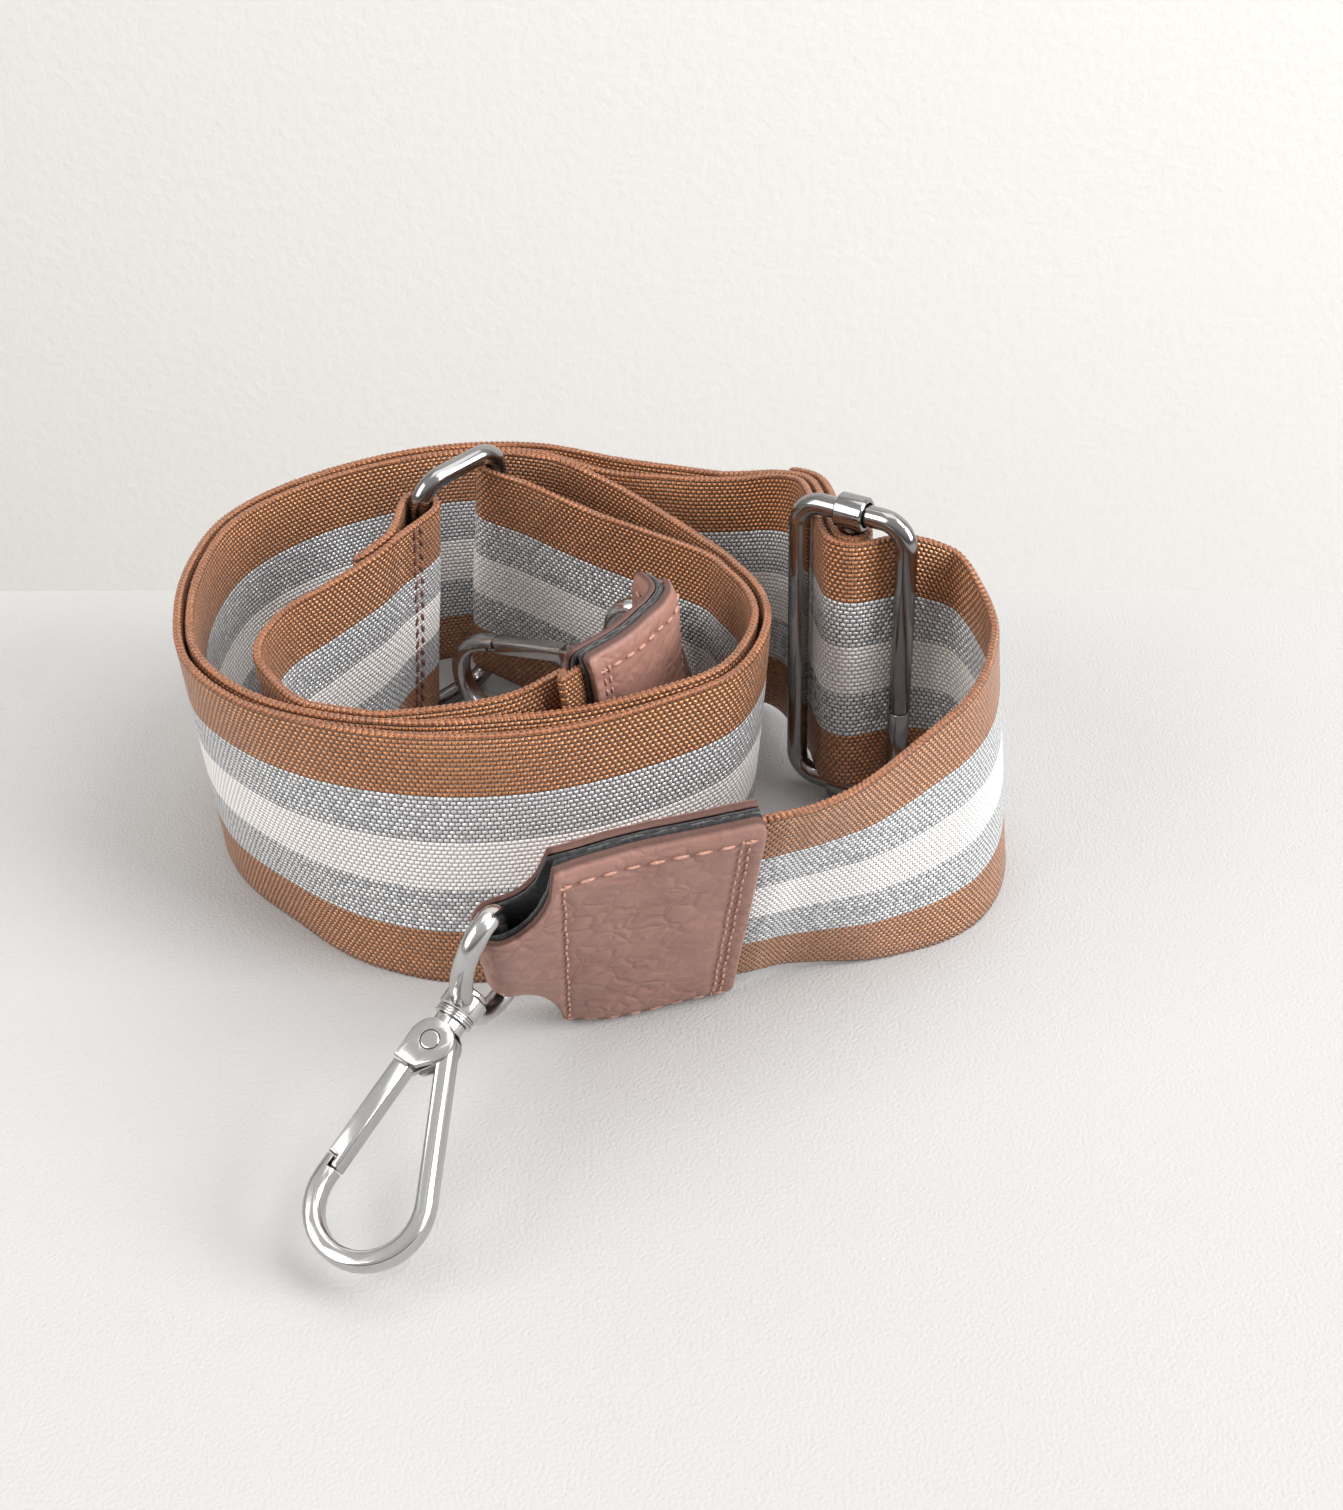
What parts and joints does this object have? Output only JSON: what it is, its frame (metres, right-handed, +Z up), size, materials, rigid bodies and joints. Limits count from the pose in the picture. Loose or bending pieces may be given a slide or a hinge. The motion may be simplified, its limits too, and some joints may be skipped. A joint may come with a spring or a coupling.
{
  "type": "detachable bag strap",
  "caption": "Wide striped webbing shoulder strap coiled on its edge, with leather end tabs, metal swivel snap hooks, an adjuster slider and a joining ring.",
  "frame": {"origin": "centre of the bounding box's bottom face, where the webbing's lower edge stands on the surface", "axes": "+Z up out of the surface across the webbing's width, +Y away from the viewer along the coil's longest extent, +X to the viewer's right"},
  "size_m": [0.1416, 0.1636, 0.0625],
  "materials": {
    "webbing": "coarse woven webbing with lengthwise copper brown, silver thread and white stripes",
    "leather": "dusty mauve brown pebbled leather with a stitched edge",
    "lining": "matt black lining cloth",
    "nickel": "polished nickel plate",
    "gunmetal": "darker polished gunmetal plate on round wire",
    "spring_wire": "bright spring wire"
  },
  "bodies": {
    "strap": {"long_webbing": "webbing", "short_webbing": "webbing", "front_leather_tab": "leather", "front_tab_lining": "lining", "rear_leather_tab": "leather", "rear_tab_lining": "lining"},
    "slider": {"slider_frame": "gunmetal", "slider_bar": "gunmetal"},
    "ring": {"adjuster_ring": "gunmetal"},
    "front_eye": {"front_hook_eye": "nickel"},
    "front_hook": {"front_swivel_post": "nickel", "front_swivel_collar": "nickel", "front_hook_body": "nickel", "front_gate_pin": "nickel", "front_gate_spring": "spring_wire"},
    "front_gate_arm": {"front_gate": "nickel"},
    "rear_eye": {"rear_hook_eye": "nickel"},
    "rear_hook": {"rear_swivel_post": "nickel", "rear_swivel_collar": "nickel", "rear_hook_body": "nickel", "rear_gate_pin": "nickel", "rear_gate_spring": "spring_wire"},
    "rear_gate_arm": {"rear_gate": "nickel"}
  },
  "joints": [
    {"name": "slider_slide", "type": "slide", "parent": "strap", "child": "slider", "axis": [0.8566, -0.5147, 0.0349], "range_m": [-0.0002, 0.0002]},
    {"name": "ring_hinge", "type": "hinge", "parent": "strap", "child": "ring", "pos_m": [-0.03745, 0.05586, 0.00147], "axis": [0.0946, -0.1883, 0.9775], "range_deg": [-2, 1]},
    {"name": "front_eye_hinge", "type": "hinge", "parent": "strap", "child": "front_eye", "pos_m": [-0.01312, -0.03941, 0.02797], "axis": [-0.0145, -0.474, 0.8804], "range_deg": [-75, 50]},
    {"name": "front_swivel", "type": "hinge", "parent": "front_eye", "child": "front_hook", "pos_m": [-0.01312, -0.03941, 0.02797], "axis": [-0.537, -0.7391, -0.4067], "continuous": true},
    {"name": "front_gate_hinge", "type": "hinge", "parent": "front_hook", "child": "front_gate_arm", "pos_m": [-0.02252, -0.05235, 0.02085], "axis": [-0.1677, -0.379, 0.9101], "range_deg": [0, 25], "stiffness_Nm_per_rad": 0.02, "springref_deg": -20.05},
    {"name": "rear_eye_hinge", "type": "hinge", "parent": "strap", "child": "rear_eye", "pos_m": [0.01085, 0.03231, 0.02649], "axis": [-0.2783, -0.0504, 0.9592], "range_deg": [0, 30]},
    {"name": "rear_swivel", "type": "hinge", "parent": "rear_eye", "child": "rear_hook", "pos_m": [0.01085, 0.03231, 0.02649], "axis": [-0.8368, 0.5028, -0.2164], "range_deg": [-25, 40]},
    {"name": "rear_gate_hinge", "type": "hinge", "parent": "rear_hook", "child": "rear_gate_arm", "pos_m": [-0.0038, 0.04111, 0.0227], "axis": [-0.515, -0.8572, 0], "range_deg": [0, 25], "stiffness_Nm_per_rad": 0.02, "springref_deg": -20.05}
  ]
}
